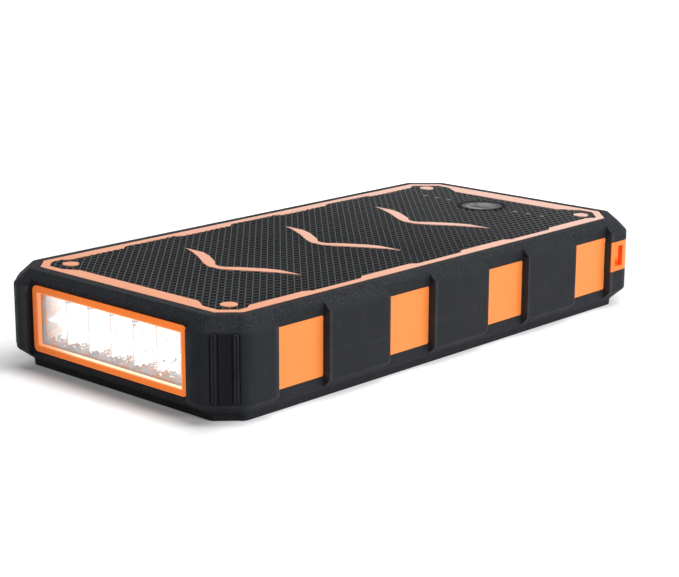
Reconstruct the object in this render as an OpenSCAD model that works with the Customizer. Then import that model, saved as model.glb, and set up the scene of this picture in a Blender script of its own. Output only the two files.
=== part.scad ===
// Lithium jump starter pack: rubber bumper round a two-part hard case, lamp in one end,
// sockets behind a rubber cover in the other. Millimetres, +Z up, lamp end at -Y.
// The origin is the centre of the underside.

/* [Overall] */
// Length over the bumper's end pads
pack_l = 198.4; // [180:0.4:230]
// Width over the bumper's side pads
pack_w = 100; // [94:1:116]
// Height of the pack
pack_h = 30; // [29:0.5:36]

/* [Bumper] */
// Corner cut of the outline at the lamp end
cut_front = 9.5; // [8:0.5:12]
// Corner cut of the outline at the socket end
cut_rear = 11.5; // [10:0.5:13]
// How far the side pads stand out from the bottoms of the notches
pad_proud = 2.6; // [2:0.1:2.8]
// How far the end pads stand out from the end walls
end_proud = 2.2; // [1.8:0.1:2.4]
// Height of the pads' lower edge above the ground
pad_low = 5.9; // [5:0.1:6.5]
// Drop from the top of the pack to the pads' upper edge
pad_drop = 3.7; // [3:0.1:4.2]
// Inset of the top rim from the side pads
rim_inset = 3.7; // [3.4:0.1:4.2]
// Inset of the top rim from the end pads
rim_inset_end = 4.6; // [4.2:0.1:5]
// Inset of the ground edge from the side pads
foot_inset = 4.4; // [4:0.1:5]
// Inset of the ground edge from the end pads
foot_inset_end = 5.5; // [4.8:0.1:5.8]
// Height of the upright ground lip
foot_lip = 1.2; // [0.8:0.1:1.8]
// Depth of the rubber lip under the case
under_lip = 0.6; // [0.4:0.1:1]
// Rounding of the bumper's upright corners
corner_r = 6; // [4:0.5:7]
// Width of the notches between the side pads
notch_w = 20; // [16:0.5:22]
// Notches on each side
notch_n = 4; // [2:1:4]
// Width of an upright rib on a cut corner
rib_w = 1.8; // [1.2:0.1:2.4]
// How far a rib stands out from the cut corner
rib_proud = 0.3; // [0.2:0.1:0.6]
// Distance between the two ribs of a corner
rib_pitch = 6.2; // [4.5:0.1:6.6]

/* [Case] */
// Distance from the side pads to the case
rim_side = 6.6; // [6.2:0.1:7]
// Distance from the end pads to the case
rim_end = 7.8; // [7.4:0.1:8.2]
// Wall of the case
case_wall = 1.8; // [1.4:0.1:2.2]
// Thickness of the top with its texture
top_t = 2.4; // [2:0.1:3]
// Depth of the textured face below the rim and the inlays
hatch_t = 0.25; // [0.15:0.05:0.35]
// Height of the locating lip at the parting line
lip_h = 1.5; // [1:0.1:2]
// Distance from a case screw to the side pads
screw_side = 15.7; // [15:0.1:16]
// Distance from a case screw to the end pads
screw_end = 16.8; // [16:0.1:18]
// Radius of a screw boss
boss_r = 3.4; // [3.2:0.1:3.6]
// Radius of a screw cap
cap_r = 2.5; // [2.2:0.1:2.8]
// Thickness of a screw cap
cap_t = 1.4; // [1:0.1:1.8]
// Radius of a case screw
screw_r = 1.3; // [1:0.1:1.5]
// Height of a screw's tip above the case's floor
screw_rest = 5.9; // [4:0.1:8]

/* [Top inlays] */
// Width of the border where it is thin
trim_w = 2.5; // [2:0.1:3]
// Gap between the border and the case's edge
trim_edge = 0.3; // [0.2:0.1:0.6]
// Extra width of the border beside each notch
trim_step = 1.6; // [1:0.1:2]
// Extra width of the border at the lamp end
trim_step_front = 2.9; // [2:0.1:3.4]
// Extra width of the border at the socket end
trim_step_rear = 4.4; // [3:0.1:4.8]
// Depth of the border and the chevrons
trim_t = 0.9; // [0.6:0.1:1.2]
// Distance from one chevron to the next
chevron_pitch = 44.3; // [40:0.1:48]
// Distance from the lamp end to the first chevron
chevron_start = 43; // [40:0.1:46]
// Half span of a chevron
chevron_half = 25.2; // [22:0.1:28]
// Sweep of a chevron, from its point to its tips
chevron_sweep = 11.6; // [10:0.1:14]

/* [Button] */
// Distance from the socket end to the button
button_end = 27.7; // [26.7:0.1:29]
// Radius of the button
button_r = 7; // [6:0.1:7.4]
// Outer radius of the button's ring
ring_r = 8.3; // [8:0.1:8.8]
// Thickness of the ring
ring_t = 1; // [0.8:0.1:1.3]
// Radius of the hollow in the button's top
dish_r = 40; // [30:1:60]
// Depth of the hollow
dish = 0.5; // [0.3:0.1:0.6]
// Height of the dome under the button
dome_h = 1.8; // [1.6:0.1:2.2]
// Travel of the button
button_travel = 0.6; // [0.4:0.1:0.7]
// Distance between neighbouring indicators
lens_pitch = 5.5; // [5:0.1:6]
// Distance from the button to the nearest indicator
lens_start = 14.8; // [12:0.2:16]
// Radius of an indicator
lens_r = 0.9; // [0.6:0.1:1.2]

/* [Lamp] */
// Width of the lamp's bezel
bezel_w = 66.8; // [64:0.2:67.4]
// Gap beside the bezel in its notch
bezel_gap = 1.3; // [1:0.1:2]
// Height of the bezel's lower edge above the ground
bezel_low = 6.4; // [6.4:0.1:7]
// Drop from the top of the pack to the bezel
bezel_drop = 3.6; // [3.6:0.1:4.2]
// Width of the bezel's face
bezel_face = 2; // [1.6:0.1:2.2]
// How far the bezel stands out of its notch
bezel_proud = 0.6; // [0.3:0.1:1]
// Thickness of the bezel's walls round the lens
bezel_wall = 1.2; // [1:0.1:1.4]
// Depth of the bezel
bezel_d = 9.4; // [9:0.1:10.5]
// Thickness of the bezel's front lip
mouth_t = 1; // [0.8:0.1:1.4]
// Thickness of the lens
glass_t = 0.8; // [0.6:0.1:1.2]
// Columns of reflector cups
cup_cols = 6; // [5:1:6]
// Margin over and under the cups
cup_margin = 1.4; // [1:0.1:2]
// Wall between two cups
cup_wall = 0.4; // [0.3:0.1:0.6]
// Thickness of the lamp's board
lamp_board_t = 1.2; // [1:0.1:1.6]
// Side of a light source
led_w = 3.6; // [3:0.1:3.8]

/* [Side inserts] */
// Distance from the pads' upper ledge down to a side insert
insert_drop = 1.7; // [1.2:0.1:2.4]
// Distance from the pads' lower ledge up to a side insert
insert_rise = 1; // [0.5:0.1:1.5]
// Thickness of a side insert
insert_t = 1.5; // [1.2:0.1:2]

/* [Lanyard eye] */
// Height of the eye
eye_h = 10; // [9:0.2:11]
// Distance from the pads' upper ledge down to the eye
eye_drop = 3.2; // [2.8:0.1:4]
// Width of the bar beside the last notch
eye_bar = 2.2; // [1.8:0.1:2.4]
// Width of the eye's opening along the pack
eye_open = 4.3; // [4.2:0.1:4.6]
// Height of the eye's opening
eye_open_h = 7; // [6:0.1:7.4]
// Depth of the strap's way behind the post
eye_way = 4.3; // [4.2:0.1:4.6]
// Thickness of the eye's back wall
eye_back = 0.5; // [0.4:0.1:0.6]

/* [Sockets] */
// Distance from the end notch's sides to the socket bay
bay_side = 3.6; // [3.4:0.1:4.4]
// Distance from the bezel's height to the socket bay's
bay_margin = 1.6; // [1.4:0.1:2.2]
// Gap between neighbouring sockets
socket_gap = 1.1; // [0.9:0.1:1.2]
// Thickness of the socket panel
panel_t = 2; // [1.6:0.1:2.4]
// Depth of the panel's face behind the end notch
panel_sink = 1.4; // [1.2:0.1:1.8]
// Width of the jump socket
jump_w = 21.6; // [20.6:0.2:22]
// Height of the jump socket
jump_h = 11.8; // [11:0.2:12.4]
// Length of the jump socket
jump_l = 18; // [17:0.5:20]
// Distance between the two contacts
contact_pitch = 10.6; // [10:0.1:11]
// Bore of a contact
contact_bore = 5; // [4.6:0.1:5.2]
// Wall of a contact
contact_wall = 0.6; // [0.5:0.1:0.8]
// Depth of a contact's bore
contact_l = 13; // [11:0.5:14]
// Length of a contact's solder tail
tail_l = 5; // [4:0.5:6]
// Width of a wide socket's shell
usb_w = 13.1; // [12.8:0.1:13.3]
// Height of a wide socket's shell
usb_h = 5.7; // [5.5:0.1:6]
// Length of a wide socket's shell
usb_l = 14; // [12:0.5:15]
// Width of the small socket's shell
usbc_w = 8.9; // [8.6:0.1:9]
// Height of the small socket's shell
usbc_h = 3.2; // [3:0.1:3.4]
// Length of the small socket's shell
usbc_l = 7.5; // [7:0.5:9]
// Thickness of the sheet of the sockets' shells
shell_t = 0.3; // [0.25:0.05:0.4]

/* [Cover] */
// Thickness of the socket cover
cover_t = 1.4; // [1.1:0.1:1.4]
// Height of the grip ribs on the cover's free end
cover_rib = 0.5; // [0.3:0.1:0.5]
// Gap from the pads' ledges to the cover
cover_gap = 0.5; // [0.4:0.1:0.8]
// Width of the cover's fixed hinge strip
root_w = 1.8; // [1.4:0.1:2.2]
// Depth of the cover's inner rim
cover_rim = 1; // [0.6:0.1:1.1]

/* [Inside] */
// Gap between the cells and the case's side walls
cell_side = 2.8; // [2.2:0.1:4]
// Gap between the cells and the lamp-side screw bosses
cell_start = 4; // [3:0.5:6]
// Thickness of the foam over the cells
foam_t = 2.5; // [2:0.1:4]
// Length of a cell's flat sealed end
seal_l = 4; // [3:0.5:6]
// Width of a cell's tab
tab_w = 8; // [6:0.5:9]
// Length of a cell's tab
tab_l = 3; // [2:0.5:4]
// Width of a copper strip
bar_w = 7; // [5:0.5:8]
// Thickness of a copper strip
bar_t = 0.8; // [0.6:0.1:1]
// Length of the main board
board_l = 33.3; // [31:0.1:35]
// Width of the main board
board_w = 35.2; // [34:0.2:35.2]
// Thickness of the main board
board_t = 1.6; // [1.2:0.1:1.8]
// Side of a coil
coil_w = 8; // [6:0.5:8]
// Height of a coil
coil_h = 4.2; // [3:0.1:4.6]
// Side of a switching chip
chip_w = 4.6; // [4:0.1:5]
// Radius of a capacitor
can_r = 4; // [3:0.5:4]
// Height of a capacitor
can_h = 9; // [7:0.5:12]

/* [Clearances] */
// Gap round a fixed insert
fit = 0.05; // [0.03:0.01:0.1]
// Gap at the parting line and between stacked pieces
seam = 0.1; // [0.05:0.05:0.2]
// Gap between a moving piece and what it moves past
run = 0.3; // [0.2:0.05:0.35]
// Radial gap round the button's stem
button_gap = 0.15; // [0.1:0.05:0.2]

/* [Hidden] */
$fn = 48;

hw = pack_w / 2;
hl = pack_l / 2;
notch_pitch = 2 * (hl - rim_end) / notch_n;
screw_x = hw - screw_side;
screw_y = hl - screw_end;
button_y = hl - button_end;
chevron_y = chevron_start - hl;
wall_y = hl - end_proud;
wall_x = hw - pad_proud;
pad_high = pack_h - pad_drop;
miter = 2 - sqrt(2);
case_x = hw - rim_side;
case_y = hl - rim_end;
top_z = pack_h - top_t;
floor_z = under_lip + case_wall;
part_z = pack_h / 2;

bezel_h = pack_h - bezel_drop - bezel_low;
lamp_z = bezel_low + bezel_h / 2;
front_notch_w = bezel_w + 2 * bezel_gap;
bezel_y = -wall_y - bezel_proud;
lens_y = bezel_y + mouth_t;
refl_y = lens_y + glass_t + fit;
lamp_back = bezel_y + bezel_d;
lamp_board_y = lamp_back - 0.2 - lamp_board_t;
cup_d = lamp_board_y - refl_y - seam;
cup_w = (bezel_w - 2 * bezel_wall - 4 * cup_margin) / cup_cols;
cup_h = (bezel_h - 2 * bezel_wall - 2 * cup_margin) / 2;
led_share = (led_w + 0.4) / (cup_h - cup_wall);

screw_seat = pack_h - cap_t - seam - 2.2;
screw_l = screw_seat - floor_z - screw_rest;
insert_z = pad_low + insert_rise;
insert_h = pad_high - insert_drop - insert_z;
eye_z = pad_high - eye_drop - eye_h;
eye_y = (notch_n - 1) / 2 * notch_pitch + notch_w / 2;
eye_back_x = case_x + seam;
eye_way_x = eye_back_x + eye_back + eye_way;
eye_open_z = eye_z + (eye_h - eye_open_h) / 2;

flange_top = top_z - run;
flange_t = 1;
dome_top = flange_top - flange_t - seam;
dome_roof = 0.5;
switch_h = 3;
switch_top = dome_top - dome_h - seam;
board_top = switch_top - switch_h - seam;
board_z = board_top - board_t;

bay_half = (jump_w + 2 * usb_w + usbc_w + 5 * socket_gap) / 2;
bay_h = bezel_h - 2 * bay_margin;
rear_notch_w = 2 * (bay_half + bay_side);
panel_y = wall_y - panel_sink;
jump_x = -bay_half + socket_gap + jump_w / 2;
usb_x = jump_x + jump_w / 2 + socket_gap + usb_w / 2;
usb_pitch = usb_w + socket_gap;
usbc_x = bay_half - socket_gap - usbc_w / 2;
usb_z = board_z - seam - usb_h / 2;
usbc_z = board_z - seam - usbc_h / 2;
contact_r = contact_bore / 2 + contact_wall;
cover_y = hl - cover_rib - cover_t;
cover_left = -rear_notch_w / 2 + root_w + run;
cover_right = rear_notch_w / 2 - run;
cover_z = pad_low + cover_gap;
cover_h = pad_high - cover_gap - cover_z;

board_y = panel_y - panel_t - run - board_l;
board_x = (usb_x + usbc_x) / 2;
cell_gap = 0.4;
cell_w = case_x - case_wall - cell_side - cell_gap / 2;
cell_t = (top_z - foam_t - floor_z - cell_gap - 3 * seam) / 2;
cell_y = -screw_y + boss_r + cell_start;
tab_y = board_y - tab_l - 4;
cell_l = tab_y - cell_y;
cells_top = floor_z + seam + 2 * cell_t + cell_gap + seam;
notch_ys = [for (i = [0 : notch_n - 1]) (i - (notch_n - 1) / 2) * notch_pitch];

// Outline of the pack, drawn in by dx at the sides and dy at the ends, anticlockwise
function outline(dx, dy) = let (x = hw - dx, y = hl - dy, f = cut_front - dx * miter,
    r = cut_rear - dx * miter) [[-x + f, -y], [x - f, -y], [x, -y + f], [x, y - r],
    [x - r, y], [-x + r, y], [-x, y - r], [-x, -y + f]];

// The same closed outline p with each corner turned into an arc of radius r in n steps
function rounded(p, r, n) = let (m = len(p)) [for (i = [0 : m - 1]) let (
    a = p[(i + m - 1) % m], b = p[i], c = p[(i + 1) % m], u = (b - a) / norm(b - a),
    v = (c - b) / norm(c - b), turn = acos(u * v), o = b - u * r * tan(turn / 2)
    + r * [-u[1], u[0]], s = atan2(-u[0], u[1])) for (k = [0 : n])
    o + r * [cos(s + turn * k / n), sin(s + turn * k / n)]];

// Rounded rectangle of w by h with corner radius r, n steps to a corner
function pill(w, h, r, n) = rounded([[-w / 2, -h / 2], [w / 2, -h / 2], [w / 2, h / 2],
    [-w / 2, h / 2]], r, n);

// The outline p lifted to height z
function lift(p, z) = [for (q = p) [q[0], q[1], z]];

// Closed solid through rings with as many points each, the lowest first
module loft(rings) {
    n = len(rings[0]);
    m = len(rings);
    sides = [for (j = [0 : m - 2]) for (i = [0 : n - 1]) let (a = j * n + i,
        b = j * n + (i + 1) % n) each [[a, a + n, b + n], [a, b + n, b]]];
    low = [for (i = [0 : n - 1]) i];
    high = [for (i = [n - 1 : -1 : 0]) (m - 1) * n + i];
    polyhedron([for (r = rings) each r], concat([low], sides, [high]));
}

// Box given by its two corners
module block(a, b) {
    translate(a) cube(b - a);
}

// Box of w by d by h centred over a point of its base
module pillar(w, d, h) {
    translate([-w / 2, -d / 2, 0]) cube([w, d, h]);
}

// Rounded rectangle in the plane, centred
module rrect(w, h, r) {
    square([w - 2 * r, h], center = true);
    square([w, h - 2 * r], center = true);
    for (x = [-1, 1], y = [-1, 1])
        translate([x * (w / 2 - r), y * (h / 2 - r)]) circle(r);
}

// Plate standing across the pack from y0 to y1, drawn in X and Z about height z
module standing(y0, y1, z) {
    translate([0, y1, z]) rotate([90, 0, 0]) linear_extrude(y1 - y0) children();
}

module at_screws() {
    for (x = [-1, 1], y = [-1, 1])
        translate([x * screw_x, y * screw_y, 0]) children();
}

module at_lenses() {
    for (s = [-1, 1], i = [0 : 2])
        translate([s * (lens_start + i * lens_pitch), button_y, 0]) children();
}

// What fills the bezel from wall to wall, in the plane
module lamp_plan(g) {
    rrect(bezel_w - 2 * bezel_wall - 2 * g, bezel_h - 2 * bezel_wall - 2 * g, 0.8);
}

module lamp_opening(grow) {
    standing(-hl - 1, lamp_back + 1, lamp_z) rrect(bezel_w + 2 * grow, bezel_h + 2 * grow, 1.8);
}

module bay_opening(y0) {
    standing(y0, hl + 1, lamp_z) rrect(2 * bay_half, bay_h, 1.5);
}

// Solid plan of the case, drawn in by d
module case_plan(d) {
    polygon(outline(rim_side + d, rim_end + d));
}

// Outer form of the bumper: lip, lower slope, pad level, upper slope and rolled rim, each
// level given by its height, its inset at the sides and what is added to that at the ends.
// Its upright corners tighten as they are drawn in.
module bumper_form() {
    e = rim_inset_end - rim_inset;
    g = foot_inset_end - foot_inset;
    levels = [[0, foot_inset, g], [foot_lip, foot_inset - 0.1, g],
        [foot_lip + 0.9, foot_inset - 0.2, g], [pad_low - 0.1, 0.3, 0], [pad_low + 0.3, 0, 0],
        [pad_high - 0.4, 0, 0], [pad_high, 0.3, 0], [pack_h - 0.35, rim_inset - 0.15, e],
        [pack_h - 0.08, rim_inset + 0.15, e], [pack_h, rim_inset + 0.6, e]];
    loft([for (v = levels) lift(rounded(outline(v[1], v[1] + v[2]),
        corner_r * (1 - 0.12 * v[1]), 6), v[0])]);
}

// Two upright ribs with rounded ends on each cut corner; the eye takes one rib's place
module corner_ribs() {
    h = pad_high - pad_low - 1;
    for (s = [-1, 1], e = [-1, 1]) {
        cut = e < 0 ? cut_front : cut_rear;
        translate([s * (hw - cut / 2), e * (hl - cut / 2), (pad_low + pad_high) / 2])
            rotate([0, 0, e > 0 ? s * -45 : 180 + s * 45])
                for (g = s + e > 1 ? [-1] : [-1, 1])
                    translate([g * rib_pitch / 2, 0, 0]) rotate([-90, 0, 0])
                    loft([lift(pill(rib_w, h, rib_w * 0.48, 4), -0.5),
                        lift(pill(rib_w, h, rib_w * 0.48, 4), rib_proud * 0.4),
                        lift(pill(rib_w * 0.55, h - rib_w * 0.45, rib_w * 0.26, 4), rib_proud)]);
    }
}

module eye_pocket() {
    block([case_x, eye_y, eye_z - fit], [hw + 1, hl + 1, eye_z + eye_h + fit]);
}

module bumper() {
    color("#26282b") difference() {
        union() {
            bumper_form();
            corner_ribs();
        }
        translate([0, 0, under_lip]) linear_extrude(pack_h) case_plan(-fit);
        translate([0, 0, -1]) linear_extrude(pack_h) case_plan(3);
        for (y = notch_ys, s = [-1, 1]) {
            translate([s * (wall_x + 5), y, -1]) pillar(10, notch_w, pack_h + 2);
            translate([s * (wall_x - insert_t / 2 - fit), y, insert_z - fit])
                pillar(insert_t + 2 * fit + 1, notch_w, insert_h + 2 * fit);
        }
        for (s = [-1, 1])
            translate([0, s * (wall_y + 5), -1])
                pillar(s < 0 ? front_notch_w : rear_notch_w, 10, pack_h + 2);
        lamp_opening(fit);
        bay_opening(0);
        eye_pocket();
    }
}

module top_cover() {
    skirt_z = part_z + seam;
    color("#2f3133") difference() {
        union() {
            difference() {
                translate([0, 0, skirt_z]) linear_extrude(pack_h - hatch_t - skirt_z)
                    case_plan(0);
                translate([0, 0, skirt_z - 1]) linear_extrude(top_z - skirt_z + 1)
                    case_plan(case_wall);
            }
            at_screws() translate([0, 0, skirt_z]) cylinder(r = boss_r, h = top_z - skirt_z + 1);
        }
        lamp_opening(fit);
        bay_opening(0);
        at_screws() {
            cylinder(r = screw_r + 0.15, h = pack_h);
            translate([0, 0, screw_seat]) cylinder(r = cap_r + fit, h = pack_h);
        }
        translate([0, button_y, 0]) cylinder(r = button_r + button_gap, h = pack_h + 1);
        translate([0, button_y, pack_h - ring_t]) cylinder(r = ring_r + fit, h = pack_h);
        at_lenses() cylinder(r = lens_r + fit, h = pack_h + 1);
        translate([0, 0, pack_h - trim_t]) linear_extrude(pack_h) {
            trim_plan(fit);
            chevrons(fit);
        }
    }
}

module bottom_case() {
    color("#232527") difference() {
        union() {
            difference() {
                translate([0, 0, under_lip]) linear_extrude(part_z - under_lip) case_plan(0);
                translate([0, 0, floor_z]) linear_extrude(pack_h) case_plan(case_wall);
            }
            translate([0, 0, floor_z]) linear_extrude(part_z + lip_h - floor_z) difference() {
                case_plan(case_wall + seam);
                case_plan(case_wall + seam + 0.9);
            }
            at_screws() translate([0, 0, floor_z - 0.5]) cylinder(r = boss_r, h = part_z - floor_z + 0.5);
        }
        lamp_opening(fit);
        bay_opening(0);
        at_screws() translate([0, 0, screw_seat - screw_l - 1])
            cylinder(r = screw_r + fit, h = pack_h);
    }
}

// Thickened length of the border: from its base of half length a to b, d deep, pointing +Y
module swell(a, b, d) {
    polygon([[-a, -0.5], [a, -0.5], [a, 0], [b, d], [-b, d], [-a, 0]]);
}

// Border with its thin runs and swells, grown by g
module trim_plan(g) {
    e = trim_edge;
    x = case_x - e - trim_w + g;
    y = case_y - e - trim_w + g;
    a = 0.458 * bezel_w;
    b = 0.42 * rear_notch_w;
    difference() {
        case_plan(e - g);
        case_plan(e + trim_w + g);
    }
    for (s = [-1, 1], c = notch_ys)
        translate([s * (x - 2 * g), c]) rotate([0, 0, s * 90])
            swell(notch_w / 2 + 2.8 + g, notch_w / 2 + 0.6 + g, trim_step);
    translate([0, -y + 2 * g]) swell(a + g, a - 1.7 * trim_step_front + g, trim_step_front);
    translate([0, y - 2 * g]) rotate([0, 0, 180])
        swell(b + g, b - 1.6 * trim_step_rear + g, trim_step_rear);
}

// One half of a chevron, from its point to its tip, in shares of its half span and sweep
function chevron_half_pts() = [[0.09, 0], [0.235, 0.14], [0.545, 0.56], [0.8, 0.84], [1, 1],
    [0.66, 0.985], [0.48, 0.83], [0.2, 0.47], [0.08, 0.24], [0, 0.2]];

// The three chevrons, grown by g
module chevrons(g) {
    h = chevron_half_pts();
    for (i = [0 : 2])
        translate([0, chevron_y + i * chevron_pitch]) offset(delta = g)
            polygon([for (s = [1, -1]) for (k = s > 0 ? [0 : 9] : [8 : -1 : 0])
                [s * h[k][0] * chevron_half, h[k][1] * chevron_sweep]]);
}

module border_trim() {
    color("#f2945c") translate([0, 0, pack_h - trim_t]) linear_extrude(trim_t) trim_plan(0);
}

module chevron_inlays() {
    color("#f2945c") translate([0, 0, pack_h - trim_t]) linear_extrude(trim_t) chevrons(0);
}

module screw_caps() {
    color("#f2945c") at_screws() translate([0, 0, pack_h - cap_t]) cylinder(r = cap_r, h = cap_t);
}

module case_screws() {
    color("#8d9196") at_screws() translate([0, 0, screw_seat]) difference() {
        union() {
            translate([0, 0, -screw_l]) cylinder(r = screw_r, h = screw_l);
            cylinder(r1 = cap_r - 0.3, r2 = cap_r - 0.1, h = 2);
        }
        for (a = [0, 90]) rotate([0, 0, a]) translate([0, 0, 1]) pillar(0.7, 2.6, 2);
    }
}

// Button: dished cap, retaining flange under the top and a plunger over the dome
module power_button() {
    color("#3a3c40") translate([0, button_y, 0]) difference() {
        union() {
            translate([0, 0, flange_top - flange_t]) cylinder(r = button_r, h = pack_h - 0.1
                - flange_top + flange_t);
            translate([0, 0, flange_top - flange_t]) cylinder(r = ring_r - 0.2, h = flange_t);
        }
        translate([0, 0, pack_h - 0.1 - dish + dish_r]) sphere(r = dish_r, $fn = 96);
    }
}

module button_ring() {
    color("#17181a") translate([0, button_y, pack_h - ring_t]) difference() {
        cylinder(r = ring_r, h = ring_t);
        translate([0, 0, -1]) cylinder(r = button_r + button_gap, h = ring_t + 2);
    }
}

// Rubber dome between the switch and the button
module button_dome() {
    h = dome_h;
    color("#9aa0a6") translate([0, button_y, switch_top + seam]) rotate_extrude()
        polygon([[2.2, 0], [3, 0], [3, 0.3], [1.8, h], [0, h], [0, h - dome_roof],
            [1.4, h - dome_roof]]);
}

// Switch with a plunger that the dome reaches at the end of the button's travel
module tact_switch() {
    color("#1c1d1f") translate([0, button_y, board_top + seam]) {
        pillar(6.2, 6.2, switch_h);
        cylinder(r = 1, h = dome_top - dome_roof - button_travel - board_top - seam);
        for (s = [-1, 1]) translate([s * 3.5, 0, 0]) pillar(0.8, 4, 0.5);
    }
}

module indicator_lenses() {
    color("#d9dde0") at_lenses() translate([0, 0, top_z])
        cylinder(r = lens_r, h = top_t - hatch_t / 2);
}

// Plates seated in the bumper's notches on the side given by s
module side_inserts(s) {
    color("#f28a45") for (y = notch_ys)
        translate([s * (wall_x - insert_t), y, insert_z + insert_h / 2]) rotate([90, 0, s * 90])
            linear_extrude(insert_t) rrect(notch_w - 2 * fit, insert_h, 0.6);
}

module side_inserts_right() {
    side_inserts(1);
}

module side_inserts_left() {
    side_inserts(-1);
}

// Bezel: outer frame, flared mouth, and a pocket behind the lip for lens, reflector and board
module lamp_bezel() {
    mw = bezel_w - 2 * bezel_face;
    mh = bezel_h - 2 * bezel_face;
    color("#f07a35") difference() {
        standing(bezel_y, lamp_back, lamp_z) rrect(bezel_w, bezel_h, 1.7);
        standing(lens_y, lamp_back + 1, lamp_z) lamp_plan(0);
        translate([0, lens_y + 0.01, lamp_z]) rotate([90, 0, 0]) loft([
            lift(pill(mw - 1.2, mh - 0.6, 0.6, 4), 0),
            lift(pill(mw - 0.9, mh - 0.45, 0.7, 4), mouth_t * 0.6),
            lift(pill(mw, mh, 1, 4), mouth_t + 0.02)]);
    }
}

module lamp_lens() {
    color("#e8eef2") standing(lens_y + fit, lens_y + glass_t, lamp_z) lamp_plan(fit);
}

module at_cups() {
    for (i = [0 : cup_cols - 1], j = [0, 1])
        translate([(i - (cup_cols - 1) / 2) * cup_w, 0, lamp_z + (j - 0.5) * cup_h]) children();
}

// Half opening of a cup at share t of its depth: a curve that closes towards the light
function cup_share(t) = 0.42 + 0.58 * sqrt(t);

module lamp_reflector() {
    w = cup_w - cup_wall;
    h = cup_h - cup_wall;
    color("#dfe3e6") difference() {
        standing(refl_y, refl_y + cup_d, lamp_z) lamp_plan(fit);
        at_cups() translate([0, refl_y + cup_d, 0]) rotate([90, 0, 0])
            loft([for (t = [-0.02, 0.08, 0.3, 0.6, 1.02]) let (k = cup_share(max(t, 0)),
                a = w * max(k, led_share), b = h * max(k, led_share))
                lift(pill(a, b, min(a, b) * (0.48 - 0.36 * max(t, 0)), 3), t * cup_d)]);
    }
}

module led_emitters() {
    color("#fff4d0") at_cups() translate([0, lamp_board_y, 0]) rotate([90, 0, 0]) {
        pillar(led_w, led_w * 0.8, 0.6);
        cylinder(r = led_w * 0.36, h = 0.9);
    }
}

module lamp_board() {
    color("#f1f3f2") standing(lamp_board_y, lamp_board_y + lamp_board_t, lamp_z) lamp_plan(fit);
}

// Plan of the eye: the bumper's corner from the last notch to the cut face
module eye_plan() {
    intersection() {
        polygon(rounded(outline(0, 0), corner_r, 6));
        translate([eye_back_x, eye_y + fit]) square(hw);
    }
}

module lanyard_eye() {
    y0 = eye_y + eye_bar;
    color("#f28a45") difference() {
        translate([0, 0, eye_z]) linear_extrude(eye_h) eye_plan();
        block([eye_back_x + eye_back, y0, eye_open_z],
            [hw + 1, y0 + eye_open, eye_open_z + eye_open_h]);
        block([eye_back_x + eye_back, y0 + eye_open - 1, eye_open_z],
            [eye_way_x, hl, eye_open_z + eye_open_h]);
    }
}

// Plan of the jump socket's housing: two corners cut so that a plug fits one way only
module jump_plan(g) {
    w = jump_w / 2 + g;
    h = jump_h / 2 + g;
    polygon([[-w, -h], [w - 3, -h], [w, -h + 3], [w, h - 3], [w - 3, h], [-w, h]]);
}

module port_panel() {
    color("#1e2022") standing(panel_y - panel_t, panel_y, lamp_z) difference() {
        rrect(2 * bay_half - 2 * fit, bay_h - 2 * fit, 1.4);
        translate([jump_x, 0]) jump_plan(fit);
        for (i = [0, 1]) translate([usb_x + i * usb_pitch, usb_z - lamp_z])
            square([usb_w + 2 * fit, usb_h + 2 * fit], center = true);
        translate([usbc_x, usbc_z - lamp_z]) rrect(usbc_w + 2 * fit, usbc_h + 2 * fit, 1.45);
    }
}

// Swinging cover: plate, inner rim that stops the bay, and grip ribs at the free end
module port_cover() {
    mid = (cover_left + cover_right) / 2;
    zc = cover_z + cover_h / 2;
    color("#26282b") {
        translate([mid, 0, 0]) standing(cover_y, cover_y + cover_t, zc)
            rrect(cover_right - cover_left, cover_h, 1.2);
        standing(cover_y - cover_rim, cover_y, lamp_z) difference() {
            rrect(2 * (bay_half - run), bay_h - 2 * run, 1.3);
            rrect(2 * (bay_half - run - 1.4), bay_h - 2 * run - 2.8, 0.8);
        }
        for (i = [0 : 2]) translate([cover_right - 3 - 1.8 * i, hl, zc])
            rotate([90, 0, 0]) linear_extrude(cover_rib + 0.5) rrect(0.9, cover_h - 8, 0.4);
    }
}

module cover_root() {
    x = -rear_notch_w / 2;
    color("#26282b") block([x, wall_y, cover_z], [x + root_w, hl - 0.2, cover_z + cover_h]);
}

module usb_a_shells() {
    color("#c9ccd0") for (i = [0, 1]) translate([usb_x + i * usb_pitch, 0, 0])
        difference() {
            standing(panel_y - usb_l, panel_y, usb_z) square([usb_w, usb_h], center = true);
            standing(panel_y - usb_l + 1, panel_y + 1, usb_z)
                square([usb_w - 2 * shell_t, usb_h - 2 * shell_t], center = true);
        }
}

module usb_a_tongues() {
    color("#2b4c9b") for (i = [0, 1]) translate([usb_x + i * usb_pitch, panel_y - usb_l + 1, 0]) {
        translate([0, 1.5, usb_z - usb_h / 2 + shell_t]) pillar(usb_w - 2 * shell_t, 3,
            usb_h - 2 * shell_t);
        translate([0, usb_l / 2 - 1, usb_z + usb_h / 2 - shell_t - 2.2])
            pillar(usb_w - 3, usb_l - 2, 1.8);
    }
}

module usb_c_socket() {
    color("#c9ccd0") translate([usbc_x, 0, 0]) {
        difference() {
            standing(panel_y - usbc_l, panel_y, usbc_z) rrect(usbc_w, usbc_h, usbc_h / 2 - 0.05);
            standing(panel_y - usbc_l + 1, panel_y + 1, usbc_z)
                rrect(usbc_w - 2 * shell_t, usbc_h - 2 * shell_t, usbc_h / 2 - shell_t - 0.05);
        }
        standing(panel_y - usbc_l + 0.9, panel_y - 0.8, usbc_z) square([6, 0.7], center = true);
    }
}

module at_contacts() {
    for (s = [-1, 1]) translate([jump_x + s * contact_pitch / 2, panel_y, lamp_z])
        rotate([90, 0, 0]) children();
}

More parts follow.
